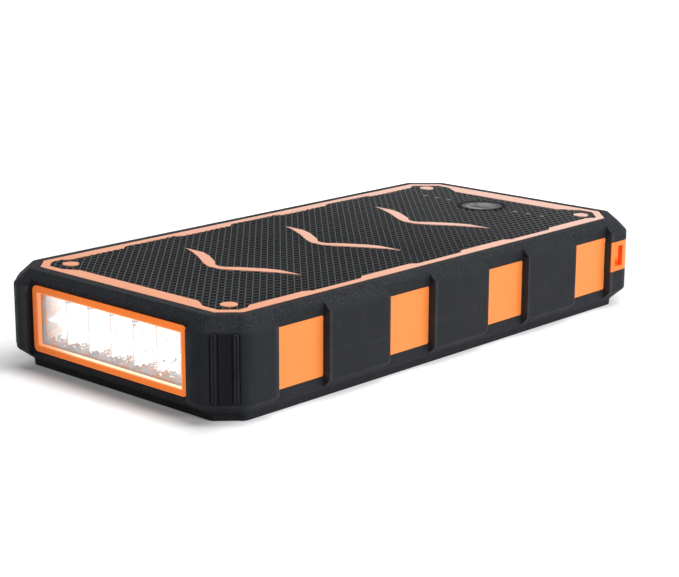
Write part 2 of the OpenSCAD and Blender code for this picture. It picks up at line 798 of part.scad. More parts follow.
module jump_socket() {
    color("#1f4fa8") difference() {
        standing(panel_y - jump_l, panel_y, lamp_z) translate([jump_x, 0]) jump_plan(0);
        at_contacts() translate([0, 0, -1]) cylinder(r = contact_r + fit, h = jump_l + 2);
    }
}

// Contact tubes with a solder tail that reaches past the housing
module jump_contacts() {
    color("#d0a94a") at_contacts() difference() {
        union() {
            translate([0, 0, 0.8]) cylinder(r = contact_r, h = jump_l - 0.8);
            translate([0, 0, jump_l - 1]) pillar(contact_bore, 2 * contact_wall, tail_l);
        }
        translate([0, 0, -1]) cylinder(r = contact_bore / 2, h = contact_l + 1.8);
    }
}

module main_board() {
    color("#1f5a38") translate([board_x, board_y + board_l / 2, board_z])
        pillar(board_w, board_l, board_t);
}

// Two coils and a row of chips on the board, two capacitors under it
module board_parts() {
    color("#3b3d40") translate([board_x, board_y, 0]) {
        for (i = [0, 1]) {
            translate([(coil_w + 2) * (i - 0.3), coil_w / 2 + 2, board_top + seam])
                pillar(coil_w, coil_w, coil_h);
            translate([(can_r + 2) * (2 * i - 0.67), can_r + 5, board_z - seam - can_h])
                cylinder(r = can_r, h = can_h);
        }
        for (i = [0 : 3])
            translate([(chip_w + 1.4) * (i - 1), 1.8 * coil_w + chip_w / 2, board_top + seam])
                pillar(chip_w, chip_w * 1.15, chip_w * 0.3);
    }
}

// Pouch cells in two columns and two layers, each with a flat sealed end
module at_cells() {
    for (s = [-1, 1], k = [0, 1])
        translate([s * (cell_w + cell_gap) / 2, cell_y, floor_z + seam + k * (cell_t + cell_gap)])
            children();
}

module battery_cells() {
    body_l = cell_l - seal_l;
    color("#b9bec4") at_cells() {
        translate([0, body_l, 0]) rotate([90, 0, 0]) linear_extrude(body_l)
            translate([0, cell_t / 2]) rrect(cell_w, cell_t, cell_t / 4);
        translate([0, body_l + (seal_l - 1) / 2, cell_t / 2 - 0.3])
            pillar(cell_w - seal_l, seal_l + 1, 0.6);
    }
}

module cell_tabs() {
    color("#c7b37a") at_cells() for (s = [-1, 1])
        translate([s * cell_w / 4, cell_l + tab_l / 2, cell_t / 2 - 0.15]) pillar(tab_w, tab_l, 0.3);
}

// Copper strips from the cells' tabs up to the two contacts
module bus_bars() {
    y0 = tab_y + tab_l + seam;
    y1 = panel_y - jump_l - tail_l + 1 - seam;
    color("#b8733a") for (s = [-1, 1]) {
        x = jump_x + s * contact_pitch / 2 - bar_w / 2;
        block([x, y0, floor_z + cell_t / 4], [x + bar_w, y0 + bar_t, lamp_z + bar_t / 2]);
        block([x, y0, lamp_z - bar_t / 2], [x + bar_w, y1, lamp_z + bar_t / 2]);
    }
}

module foam_pads() {
    color("#4a4d50") for (s = [-1, 1])
        translate([s * (cell_w + cell_gap) / 2, cell_y + (cell_l - seal_l) / 2, cells_top])
            pillar(cell_w - seal_l, cell_l - 4 * seal_l, foam_t);
}

bumper();
top_cover();
bottom_case();
border_trim();
chevron_inlays();
screw_caps();
case_screws();
power_button();
button_ring();
button_dome();
tact_switch();
indicator_lenses();
side_inserts_right();
side_inserts_left();
lamp_bezel();
lamp_lens();
lamp_reflector();
led_emitters();
lamp_board();
lanyard_eye();
port_panel();
port_cover();
cover_root();
usb_a_shells();
usb_a_tongues();
usb_c_socket();
jump_socket();
jump_contacts();
main_board();
board_parts();
battery_cells();
cell_tabs();
bus_bars();
foam_pads();
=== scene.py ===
import bmesh
import bpy
import math
import numpy as np
from mathutils import Matrix, Vector


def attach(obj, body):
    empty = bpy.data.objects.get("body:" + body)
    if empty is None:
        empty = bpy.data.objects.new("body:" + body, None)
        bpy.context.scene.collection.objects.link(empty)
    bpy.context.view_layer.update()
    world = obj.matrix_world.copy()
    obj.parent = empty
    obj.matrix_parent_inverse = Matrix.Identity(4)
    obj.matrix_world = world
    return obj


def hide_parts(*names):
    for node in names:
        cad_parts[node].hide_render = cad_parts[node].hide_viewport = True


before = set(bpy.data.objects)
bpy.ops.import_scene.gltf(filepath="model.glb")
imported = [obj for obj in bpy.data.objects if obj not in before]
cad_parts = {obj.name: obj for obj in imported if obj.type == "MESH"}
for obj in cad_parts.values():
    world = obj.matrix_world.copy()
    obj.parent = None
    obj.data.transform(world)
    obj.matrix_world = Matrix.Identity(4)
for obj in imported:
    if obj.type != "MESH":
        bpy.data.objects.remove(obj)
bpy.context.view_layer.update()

# ---------------------------------------------------------------------------
# Table, studio and camera.
# The pack lies on a plain white table under a broad soft light from above and
# to its right, so the lamp end is the darkest and the long side the middle tone.

CAMERA_AZIMUTH, CAMERA_ELEVATION, CAMERA_ROLL = 42.93, 14.29, 0.21
CAMERA_DISTANCE, CAMERA_SIDE, CAMERA_UP, AIM_HEIGHT = 563.0, 0.75, 1.77, 15.0
# the focal length over the width of the frame, the sensor's width, and a millimetre in metres
FOCAL_SHARE, SENSOR, MM = 1748.7 / 679.0, 36.0, 0.001

azimuth, elevation = math.radians(CAMERA_AZIMUTH), math.radians(CAMERA_ELEVATION)
roll = math.radians(CAMERA_ROLL)
back = Vector((math.sin(azimuth) * math.cos(elevation),
               -math.cos(azimuth) * math.cos(elevation), math.sin(elevation)))
level = Vector((math.cos(azimuth), math.sin(azimuth), 0.0))
upward = back.cross(level)
right = math.cos(roll) * level + math.sin(roll) * upward
top = -math.sin(roll) * level + math.cos(roll) * upward
place = (Vector((0, 0, AIM_HEIGHT)) + back * CAMERA_DISTANCE - right * CAMERA_SIDE
         - top * CAMERA_UP) * MM
camera_data = bpy.data.cameras.new("studio_camera")
camera_data.sensor_fit = "HORIZONTAL"
camera_data.sensor_width = SENSOR
camera_data.lens = SENSOR * FOCAL_SHARE
camera_data.clip_start, camera_data.clip_end = 0.02, 20.0
camera = bpy.data.objects.new("studio_camera", camera_data)
camera.matrix_world = Matrix([[right[i], top[i], back[i], place[i]] for i in range(3)]
                             + [[0, 0, 0, 1]])
bpy.context.scene.collection.objects.link(camera)
bpy.context.scene.camera = camera
bpy.context.scene.view_settings.view_transform = "Standard"


def area_light(name, watts, size, where, aim):
    """Rectangular soft light of size (x, y) metres at where, turned towards aim."""
    data = bpy.data.lights.new(name, "AREA")
    data.energy, data.shape, data.size, data.size_y = watts, "RECTANGLE", size[0], size[1]
    light = bpy.data.objects.new(name, data)
    light.location = where
    light.rotation_euler = (Vector(aim) - Vector(where)).to_track_quat("-Z", "Y").to_euler()
    bpy.context.scene.collection.objects.link(light)


area_light("overhead_box", 9.5, (0.9, 0.9), (0.3, 0.25, 1.1), (0, 0, 0))
area_light("right_box", 10.0, (0.3, 0.3), (1.35, 0.1, 0.42), (0, 0, 0.01))
area_light("right_rear_box", 5.0, (0.5, 0.4), (1.0, 0.9, 0.5), (0, 0, 0.01))
area_light("front_fill", 2.0, (0.7, 0.5), (0.2, -1.0, 1.0), (0, -0.05, 0.01))

world = bpy.data.worlds.new("studio_world")
world.use_nodes = True
bpy.context.scene.world = world
sky, wires = world.node_tree.nodes, world.node_tree.links
sky.clear()
seen = sky.new("ShaderNodeLightPath")
soft, white = sky.new("ShaderNodeBackground"), sky.new("ShaderNodeBackground")
soft.inputs["Color"].default_value = (0.93, 0.96, 1.0, 1)
soft.inputs["Strength"].default_value = 0.07
white.inputs["Strength"].default_value = 1.0
blend, sky_out = sky.new("ShaderNodeMixShader"), sky.new("ShaderNodeOutputWorld")
direct, through = sky.new("ShaderNodeMath"), sky.new("ShaderNodeMath")
direct.operation = through.operation = "MAXIMUM"
wires.new(seen.outputs["Is Camera Ray"], direct.inputs[0])
wires.new(seen.outputs["Is Glossy Ray"], direct.inputs[1])
wires.new(direct.outputs[0], through.inputs[0])
wires.new(seen.outputs["Is Transmission Ray"], through.inputs[1])
wires.new(through.outputs[0], blend.inputs["Fac"])
wires.new(soft.outputs["Background"], blend.inputs[1])
wires.new(white.outputs["Background"], blend.inputs[2])
wires.new(blend.outputs["Shader"], sky_out.inputs["Surface"])

GLOW_NEAR, GLOW_FAR, NEAR_AT, FAR_AT = 0.38, 0.80, 0.15, 0.30
# painted light on the table beside the pack's long sides, and a painted shadow under its lamp end
PAINTED_LIGHT_LEFT, PAINTED_LIGHT_RIGHT, PAINTED_SHADOW_LAMP, TABLE_HALF = 0.26, 0.22, -0.26, 6


def table_paint():
    """White table: a diffuse white, with a glow where it is seen directly, mirrored or through
    glass. The glow rises with the distance from the pack's centre, is raised beside both of its
    long sides as painted light that clears the shadow there, and is lowered under the lamp end
    as a painted tight shadow. Lengths are in metres."""
    mat = bpy.data.materials.new("table_white")
    mat.use_nodes = True
    nodes, links = mat.node_tree.nodes, mat.node_tree.links
    nodes.clear()

    def calc(kind, a, b):
        """Operation kind on a and b, each a number or a socket."""
        n = nodes.new("ShaderNodeMath")
        n.operation = kind
        for socket, v in zip(n.inputs, (a, b)):
            if isinstance(v, float):
                socket.default_value = v
            else:
                links.new(v, socket)
        return n.outputs[0]

    def rise(value, *limits):
        """Straight ramp that carries the first two limits to the last two, level beyond them."""
        n = nodes.new("ShaderNodeMapRange")
        for key, v in zip(("From Min", "From Max", "To Min", "To Max"), limits):
            n.inputs[key].default_value = v
        links.new(value, n.inputs["Value"])
        return n.outputs["Result"]

    path, where = nodes.new("ShaderNodeLightPath"), nodes.new("ShaderNodeTexCoord")
    far, apart = nodes.new("ShaderNodeVectorMath"), nodes.new("ShaderNodeSeparateXYZ")
    far.operation = "LENGTH"
    links.new(where.outputs["Object"], far.inputs[0])
    links.new(where.outputs["Object"], apart.inputs[0])
    x, y = apart.outputs["X"], apart.outputs["Y"]
    around = rise(far.outputs["Value"], NEAR_AT, FAR_AT, GLOW_NEAR, GLOW_FAR)
    # painted light beside the long sides, clearing the shadow there
    beside = calc("ADD", rise(x, -0.042, -0.078, 0.0, PAINTED_LIGHT_LEFT),
                  rise(x, 0.044, 0.052, 0.0, PAINTED_LIGHT_RIGHT))
    # painted shadow under the lamp end, within the pack's width
    painted_lamp_shadow = calc("MULTIPLY", rise(y, -0.106, -0.098, 0.20, PAINTED_SHADOW_LAMP),
                 rise(y, -0.06, -0.05, 1.0, 0.0))
    painted_lamp_shadow = calc("MULTIPLY", painted_lamp_shadow, rise(calc("ABSOLUTE", x, 0.0), 0.037, 0.045, 1.0, 0.0))
    glowing = calc("ADD", calc("ADD", around, beside), painted_lamp_shadow)
    seen_direct = calc("MAXIMUM", path.outputs["Is Camera Ray"], path.outputs["Is Glossy Ray"])
    seen_all = calc("MAXIMUM", seen_direct, path.outputs["Is Transmission Ray"])
    paint, glow = nodes.new("ShaderNodeBsdfDiffuse"), nodes.new("ShaderNodeEmission")
    total, out = nodes.new("ShaderNodeAddShader"), nodes.new("ShaderNodeOutputMaterial")
    paint.inputs["Color"].default_value = (0.70, 0.705, 0.715, 1)
    links.new(calc("MULTIPLY", glowing, seen_all), glow.inputs["Strength"])
    links.new(paint.outputs[0], total.inputs[0])
    links.new(glow.outputs[0], total.inputs[1])
    links.new(total.outputs[0], out.inputs["Surface"])
    return mat


table_mesh = bpy.data.meshes.new("table")
table_mesh.from_pydata([(i * TABLE_HALF, j * TABLE_HALF, 0) for i, j in
                        ((-1, -1), (1, -1), (1, 1), (-1, 1))], [], [(0, 1, 2, 3)])
table_mesh.materials.append(table_paint())
table = bpy.data.objects.new("table", table_mesh)
bpy.context.scene.collection.objects.link(table)

# ---------------------------------------------------------------------------
# Rubber bumper: one injection-moulded elastomer sleeve, stretched over the case, with
# smooth raised pads, spark-eroded grain on its sloping bands, and eight notches for the
# side plates.

# lengths are in millimetres, and depths are counted inwards from the pads' faces
HALF_W, HALF_L, HEIGHT = 50.0, 99.2, 30.0
CUT_FRONT, CUT_REAR, MITRE = 9.5, 11.5, 2 - math.sqrt(2)
CORNER_R, CORNER_TIGHTENS, CORNER_LEAST, ARC_STEPS = 6.0, 0.12, 0.6, 8
PAD_PROUD, END_PROUD, NOTCH_HALF, NOTCH_PITCH = 2.6, 2.2, 10.0, 45.7
NOTCH_YS = (np.arange(4) - 1.5) * NOTCH_PITCH
END_NOTCH_HALF, LAMP_Z = 34.7, 16.4
POCKET_Z, POCKET_D = (6.85, 24.65), 3.76
INNER_DX, INNER_DY, FOOT_DX, FOOT_DY, FOOT_Z = 6.55, 7.75, 9.6, 10.8, 0.6
FILLET, FOOT_FILLET, WALL_RUN, WALL_SLOPE = 0.25, 0.3, 0.03, 60
RIB_AT, RIB_HALF, RIB_PROUD, RIB_Z = 3.1, 0.9, 0.3, (6.4, 25.8)
UPPER_FROM, UPPER_RUN, UPPER_MORE = 26.3, 3.35, 0.9
LOWER_FROM, LOWER_RUN, LOWER_MORE = 5.8, 3.7, 1.1
LAMP_HALF, SOCKET_HALF, EYE_END = 33.45, 31.1, 1.13
CUT_STILL, RUN_STILL = 1.2, 30.0


def eased(points, radius, steps):
    """Polyline with each inner corner replaced by a short parabola that starts and ends
    at most radius away from it along its two legs."""
    p = np.asarray(points, float)
    out = [p[:1]]
    t = np.linspace(0, 1, steps + 1)[:, None]
    for a, b, c in zip(p[:-2], p[1:-1], p[2:]):
        la, lc = np.linalg.norm(b - a), np.linalg.norm(c - b)
        q = b + (a - b) * min(radius / la, 0.45)
        r = b + (c - b) * min(radius / lc, 0.45)
        out.append((1 - t) ** 2 * q + 2 * t * (1 - t) * b + t ** 2 * r)
    return np.vstack(out + [p[-1:]])


def wall_depth(t, proud):
    """How deep a notch is at the signed distance t inside its edge: a convex fillet, a wall,
    then a concave fillet onto the floor."""
    f, g = FILLET, FOOT_FILLET
    crest = f - np.sqrt(np.clip(f * f - np.clip(t + f, 0, f) ** 2, 0, None))
    root = proud - g + np.sqrt(np.clip(g * g - np.clip(g + WALL_RUN - t, 0, g) ** 2, 0, None))
    wall = np.minimum(proud - g, f + t * WALL_SLOPE)
    return np.where(t <= 0.0, crest, np.where(t < WALL_RUN, wall, root))


def rib_height(t, z):
    """Height of a corner rib t beside its spine: hollowed along the top, rounded off towards the
    outline of a stadium RIB_HALF in radius, with a shallow groove round its foot."""
    low, high = RIB_Z[0] + RIB_HALF, RIB_Z[1] - RIB_HALF
    share = np.hypot(t, max(low - z, 0.0, z - high)) / RIB_HALF
    crown = RIB_PROUD * np.clip((1.0 - share) / 0.25, 0.0, 1.0) ** 0.6
    dish = 0.08 * np.clip(1.0 - share / 0.55, 0.0, 1.0)
    groove = 0.2 * np.clip(1.0 - np.abs(share - 1.22) / 0.24, 0.0, 1.0)
    return crown - dish - groove


EDGE_STEPS = np.array([-0.25, -0.18, -0.11, -0.05, -0.015, 0.0, 0.03, 0.08, 0.16, 0.33])


def both_edges(centre, half):
    """Coordinates of the grid lines round a notch that spans centre - half to centre + half."""
    return np.concatenate([centre - half + EDGE_STEPS, centre + half - EDGE_STEPS[::-1]])


rib_steps = np.array([0.0, 0.25, 0.5, 0.68, 0.76, 0.84, 0.89, 1.0, 1.1, 1.2, 1.32])
rib_line = np.concatenate([-rib_steps[:0:-1], rib_steps])
cut_lines = np.concatenate([rib_line - RIB_AT, [-1.2, -0.6, 0.0, 0.6, 1.2], rib_line + RIB_AT])
front_lines = np.concatenate([both_edges(0, END_NOTCH_HALF), [-LAMP_HALF, LAMP_HALF],
                              np.linspace(-33, 33, 23)])
rear_lines = np.concatenate([both_edges(0, END_NOTCH_HALF), [-SOCKET_HALF, SOCKET_HALF],
                             np.linspace(-30.5, 30.5, 21)])
side_lines = np.concatenate([both_edges(y, NOTCH_HALF) for y in NOTCH_YS]
                            + [y + np.linspace(-9, 9, 7) for y in NOTCH_YS]
                            + [y + np.linspace(-11.2, -11.2 - 23.2, 9) for y in NOTCH_YS[1:]]
                            + [[-86, -84, -82, -80.5, 80.5, 82, 84]])
eye_cut_lines = np.concatenate([cut_lines, [EYE_END]])


def run_places(lines, turn):
    """Places of one run in the order of the ring: sorted upwards where turn is 1 and downwards
    where it is -1, less those within 0.004 mm of the one before."""
    places = np.sort(lines)[::turn]
    return places[np.concatenate([[True], np.abs(np.diff(places)) > 0.004])]


# the eight runs of the ring: kind, the way its coordinate counts, and its places
RUNS = [(kind, turn, run_places(lines, turn)) for kind, turn, lines in (
    ("end", 1, front_lines), ("cut", 1, cut_lines), ("side", 1, side_lines),
    ("cut", 1, eye_cut_lines), ("end", -1, -rear_lines), ("cut", 1, cut_lines),
    ("side", -1, -side_lines), ("cut", 1, cut_lines))]


def corner_points(dx, dy):
    """The eight corners of the pack's outline, drawn in by dx at the sides and dy at the ends."""
    x, y = HALF_W - dx, HALF_L - dy
    f, r = CUT_FRONT - dx * MITRE, CUT_REAR - dx * MITRE
    return np.array([[-x + f, -y], [x - f, -y], [x, -y + f], [x, y - r],
                     [x - r, y], [-x + r, y], [-x, y - r], [-x, -y + f]])


def ring(dx, dy):
    """One closed line round the pack: straight runs at the fixed places of RUNS, joined by arcs
    that tighten as the line is drawn in. Where a run is too short for its places, those
    furthest out are drawn in."""
    radius = max(CORNER_R * (1 - CORNER_TIGHTENS * max(dx, 0.0)), CORNER_LEAST)
    c = corner_points(dx, dy)
    reach = radius * math.tan(math.pi / 8)
    out = []
    for i, (kind, turn, lines) in enumerate(RUNS):
        a, b = c[i], c[(i + 1) % 8]
        u = (b - a) / np.linalg.norm(b - a)
        mid = (a + b) / 2
        origin = mid if kind == "cut" else mid - u * (mid @ u)
        low, high = (a - origin) @ u + reach, (b - origin) @ u - reach
        s = lines * turn
        still = CUT_STILL if kind == "cut" else RUN_STILL
        lo, hi = max(s[0], low + 0.03), min(s[-1], high - 0.03)
        s = np.interp(s, [s[0], -still, still, s[-1]], [lo, -still, still, hi])
        out.append(origin + s[:, None] * u)
        inwards = np.array([-u[1], u[0]])
        hub = b - u * reach + radius * inwards
        k = np.linspace(0, math.pi / 4, ARC_STEPS + 1)[:, None]
        out.append(hub + radius * (np.sin(k) * u - np.cos(k) * inwards))
    return np.vstack(out)


def ring_notes():
    """For every place of the ring: its run's number, or -1 on an arc, and its coordinate along
    that run."""
    run, along = [], []
    for i, (kind, turn, lines) in enumerate(RUNS):
        run += [i] * len(lines) + [-1] * (ARC_STEPS + 1)
        along += list(lines) + [0.0] * (ARC_STEPS + 1)
    return np.array(run), np.array(along)


RUN, ALONG = ring_notes()
SIDES, ENDS, CUTS = (RUN == 2) | (RUN == 6), (RUN == 0) | (RUN == 4), (RUN > 0) & (RUN % 2 == 1)
# how far a place counts as the pack's end: 1 along an end, 0 along a side, between them elsewhere
known = np.where(RUN >= 0)[0]
END_SHARE = np.interp(np.arange(len(RUN)), np.append(known, len(RUN)),
                      np.append(np.where(ENDS, 1.0, np.where(CUTS, 0.707, 0.0))[known], 1.0))


def carved(z, inset):
    """Depth of the skin at each place of the ring, at height z where the side pads' ring lies
    inset deep: the deeper of that, the notches and the pockets of the plates, less the ribs.
    The sloping bands draw the ends in a little further than the sides."""
    ends_more = (UPPER_MORE * np.clip((z - UPPER_FROM) / UPPER_RUN, 0.0, 1.0)
                 + LOWER_MORE * np.clip((LOWER_FROM - z) / LOWER_RUN, 0.0, 1.0))
    depth = inset + END_SHARE * ends_more
    for y in NOTCH_YS:
        t = NOTCH_HALF - np.abs(ALONG - y)
        d = np.where(t > -FILLET, wall_depth(t, PAD_PROUD), 0.0)
        if POCKET_Z[0] < z < POCKET_Z[1]:
            d = np.where(t > 0.02, POCKET_D, d)
        depth = np.where(SIDES, np.maximum(depth, d), depth)
    t = END_NOTCH_HALF - np.abs(ALONG)
    depth = np.where(ENDS & (t > -FILLET), np.maximum(depth, wall_depth(t, END_PROUD)), depth)
    rib = np.where(CUTS & ((RUN != 3) | (ALONG > 0)), rib_height(np.abs(ALONG) - RIB_AT, z), 0.0)
    return depth - rib


# upright section of the skin as (height, inset) rows: foot lip, lower band, pad, upper band,
# rim, with more rows where a notch, rib or opening starts or ends
profile = eased([[0.0, 4.8], [0.04, 4.5], [0.25, 4.35], [1.2, 4.3], [2.1, 4.2], [5.8, 0.3],
                 [6.25, 0.0], [25.85, 0.0], [26.3, 0.3], [29.65, 3.55], [29.92, 3.85],
                 [30.0, 4.35]], 0.3, 3)
MORE_ROWS = (2.8, 3.5, 3.8, 4.2, 4.8, 6.42, 6.5, 6.62, 6.8, 6.83, 6.87, 7.05, 7.3, 8.0, 10.5,
             13.05, 16.4, 20.0, 23.15, 24.63, 24.67, 24.8, 24.9, 25.15, 25.4, 25.58, 25.7,
             25.78, 26.45, 27.0, 27.7, 28.2, 28.5, 28.9, 29.3)
more = np.column_stack([MORE_ROWS, np.interp(MORE_ROWS, profile[:, 0], profile[:, 1])])
profile = np.vstack([profile, more])
profile = profile[np.argsort(profile[:, 0], kind="stable")]
profile = profile[np.concatenate([[True], np.diff(profile[:, 0]) > 0.004])]

# depths at which the ring is worked out; the skin runs straight between them
DEPTHS = np.array([-0.7, 0.0, 0.5, 1.0, 1.6, 2.2, 2.6, 3.2, 3.8, 4.4, 5.3, 6.0])
DEPTH_RINGS = np.stack([ring(d, d) for d in DEPTHS])


def at_height(xy, z):
    """Points of a flat line, given their third coordinate z."""
    return np.column_stack([xy, np.full(len(xy), z)])


def skin(z, inset):
    """Points of the outer skin at one height: each place of the ring moved straight between the
    rings of the two nearest DEPTHS to the depth that carved() gives."""
    depth = carved(z, inset)
    k = np.clip(np.searchsorted(DEPTHS, depth) - 1, 0, len(DEPTHS) - 2)
    w = ((depth - DEPTHS[k]) / (DEPTHS[k + 1] - DEPTHS[k]))[:, None]
    i = np.arange(len(depth))
    return at_height(DEPTH_RINGS[k, i] * (1 - w) + DEPTH_RINGS[k + 1, i] * w, z)


outer = np.stack([skin(z, d) for z, d in profile])
inner_rows = np.where((profile[:, 0] > FOOT_Z + 0.1) & (profile[:, 0] < HEIGHT - 0.2))[0]
case_ring, lip_ring = ring(INNER_DX, INNER_DY), ring(FOOT_DX, FOOT_DY)
inner = [at_height(case_ring, HEIGHT)]
inner += [at_height(case_ring, profile[j, 0]) for j in inner_rows[::-1]]
inner += [at_height(case_ring, FOOT_Z), at_height(lip_ring, FOOT_Z), at_height(lip_ring, 0.0)]
sleeve = np.vstack([outer, np.stack(inner)])
inner_of = {int(j): len(profile) + 1 + (len(inner_rows) - 1 - n) for n, j in enumerate(inner_rows)}


def span(run_low, at_low, run_high, at_high):
    """Ring places from one line of a run to a line of the same or a later run, each the first
    within 0.02 mm of what is asked."""
    a = np.where((RUN == run_low) & (np.abs(ALONG - at_low) < 0.02))[0][0]
    b = np.where((RUN == run_high) & (np.abs(ALONG - at_high) < 0.02))[0][0]
    return int(a), int(b)


def row(z):
    """Number of the profile's row nearest to height z."""
    return int(np.argmin(np.abs(profile[:, 0] - z)))


# openings for the lamp, the sockets and the eye: first and last place, first and last row
HOLES = [span(0, -LAMP_HALF, 0, LAMP_HALF) + (row(6.42), row(26.45)),
         span(4, SOCKET_HALF, 4, -SOCKET_HALF) + (row(8.0), row(24.8)),
         span(2, NOTCH_YS[3] + NOTCH_HALF, 3, EYE_END) + (row(13.05), row(23.15))]


def sleeve_faces():
    """Quads of the closed skin, less the lamp, socket and eye openings, plus their jambs."""
    rows, places = sleeve.shape[:2]

    def at(j, i):
        """Number of the point in row j at place i, both counted round."""
        return (j % rows) * places + (i % places)

    j, i = np.meshgrid(np.arange(rows), np.arange(places), indexing="ij")
    quads = np.stack([at(j, i), at(j, i + 1), at(j + 1, i + 1), at(j + 1, i)], -1).reshape(-1, 4)
    keep = np.ones((rows, places), bool)
    jambs = []
    for a, b, low, high in HOLES:
        keep[low:high, a:b] = False
        keep[inner_of[high]:inner_of[low], a:b] = False
        n = np.arange(a, b)
        for sill, flip in ((low, 1), (high, -1)):
            q = np.stack([at(sill, n), at(sill, n + 1), at(inner_of[sill], n + 1),
                          at(inner_of[sill], n)], -1)
            jambs.append(q[:, ::flip])
        m = np.arange(low, high)
        deep = np.array([inner_of[int(k)] for k in m] + [inner_of[int(high)]])
        for post, flip in ((a, -1), (b, 1)):
            q = np.stack([at(m, post), at(m + 1, post), at(deep[1:], post),
                          at(deep[:-1], post)], -1)
            jambs.append(q[:, ::flip])
    return np.vstack([quads[keep.reshape(-1)]] + jambs).tolist()


def make_piece(name, points, faces, body, material, smooth):
    """Mesh object from rows of points in millimetres and lists of their numbers, riding on a
    body. Doubles are merged, faces turned outwards, and edges sharper than smooth degrees stay
    sharp."""
    mesh = bpy.data.meshes.new(name)
    mesh.from_pydata((points.reshape(-1, 3) * MM).tolist(), [], faces)
    bm = bmesh.new()
    bm.from_mesh(mesh)
    bmesh.ops.remove_doubles(bm, verts=bm.verts, dist=1e-7)
    bmesh.ops.recalc_face_normals(bm, faces=bm.faces)
    bm.to_mesh(mesh)
    bm.free()
    mesh.polygons.foreach_set("use_smooth", np.ones(len(mesh.polygons), bool))
    mesh.set_sharp_from_angle(angle=math.radians(smooth))
    mesh.materials.append(material)
    piece = bpy.data.objects.new(name, mesh)
    bpy.context.scene.collection.objects.link(piece)
    even = piece.modifiers.new("even_normals", "WEIGHTED_NORMAL")
    even.keep_sharp = True
    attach(piece, body)
    return piece


class Finish:
    """A node material with a Principled surface, and short calls for what goes into it."""

    def __init__(self, name):
        self.mat = bpy.data.materials.new(name)
        self.mat.use_nodes = True
        self.nodes, self.links = self.mat.node_tree.nodes, self.mat.node_tree.links
        self.surface = self.nodes["Principled BSDF"]
        self.place = self.nodes.new("ShaderNodeTexCoord").outputs["Object"]
        self.height = None

    def set(self, **values):
        """Plain values for the surface's inputs, with _ for a space in their names."""
        for key, value in values.items():
            self.surface.inputs[key.replace("_", " ")].default_value = value

    def noise(self, scale, detail=3.0, rough=0.55, stretch=None):
        """Clouds about 1 / scale metres across, drawn out where stretch is under 1."""
        n = self.nodes.new("ShaderNodeTexNoise")
        n.inputs["Scale"].default_value = scale
        n.inputs["Detail"].default_value = detail
        n.inputs["Roughness"].default_value = rough
        source = self.place
        if stretch:
            turn = self.nodes.new("ShaderNodeMapping")
            turn.inputs["Scale"].default_value = stretch
            self.links.new(source, turn.inputs["Vector"])
            source = turn.outputs["Vector"]
        self.links.new(source, n.inputs["Vector"])
        return n.outputs["Fac"]

    def axes(self):
        """Object coordinates in millimetres, as three sockets."""
        split = self.nodes.new("ShaderNodeSeparateXYZ")
        self.links.new(self.place, split.inputs[0])
        return [self.math("MULTIPLY", split.outputs[i], 1000.0) for i in range(3)]

    def scuffs(self):
        """Sparse hairline handling marks in two directions: 0 off a mark, up to 1 on it."""
        one = self.ramp(self.noise(240.0, 3.0, 0.6, (1.0, 0.07, 1.0)), 0.63, 0.73)
        two = self.ramp(self.noise(210.0, 3.0, 0.6, (0.08, 1.0, 0.5)), 0.63, 0.73)
        worn = self.ramp(self.noise(24.0, 3.0), 0.42, 0.62)
        return self.math("MULTIPLY", self.math("MAXIMUM", one, two), worn)

    def attribute(self, name):
        """What the mesh carries under that name at each point."""
        n = self.nodes.new("ShaderNodeAttribute")
        n.attribute_name = name
        return n.outputs["Fac"]

    def ramp(self, value, low, high, out_low=0.0, out_high=1.0):
        """Straight ramp from out_low at low to out_high at high, level beyond them."""
        n = self.nodes.new("ShaderNodeMapRange")
        for key, v in (("From Min", low), ("From Max", high),
                       ("To Min", out_low), ("To Max", out_high)):
            n.inputs[key].default_value = v
        self.links.new(value, n.inputs["Value"])
        return n.outputs["Result"]

    def math(self, kind, a, b):
        """Operation kind on a and b, each a number or a socket."""
        n = self.nodes.new("ShaderNodeMath")
        n.operation = kind
        for socket, v in zip(n.inputs, (a, b)):
            if isinstance(v, (int, float)):
                socket.default_value = v
            else:
                self.links.new(v, socket)
        return n.outputs[0]

    def mix(self, factor, a, b):
        """Colour a where factor is 0, b where it is 1, and their blend between."""
        n = self.nodes.new("ShaderNodeMix")
        n.data_type = "RGBA"
        for key, v in (("A", a), ("B", b)):
            socket = [s for s in n.inputs if s.name == key and s.type == "RGBA"][0]
            if isinstance(v, tuple):
                socket.default_value = (*v, 1)
            else:
                self.links.new(v, socket)
        self.links.new(factor, n.inputs["Factor"])
        return [s for s in n.outputs if s.type == "RGBA"][0]

    def put(self, key, value):
        """Feeds the surface's input key from the socket value."""
        self.links.new(value, self.surface.inputs[key])

    def source(self, key):
        """The socket that feeds the surface's input key."""
        return self.surface.inputs[key].links[0].from_socket

    def bump(self, height, depth_mm, strength):
        """Tilts the surface as if height, 0 to 1, stood depth_mm proud, on top of earlier bumps."""
        n = self.nodes.new("ShaderNodeBump")
        n.inputs["Strength"].default_value = strength
        n.inputs["Distance"].default_value = depth_mm * MM
        self.links.new(height, n.inputs["Height"])
        if self.height is not None:
            self.links.new(self.height, n.inputs["Normal"])
        self.height = n.outputs["Normal"]
        self.links.new(self.height, self.surface.inputs["Normal"])


RUBBER_BLACK = (0.0140, 0.0152, 0.0178)


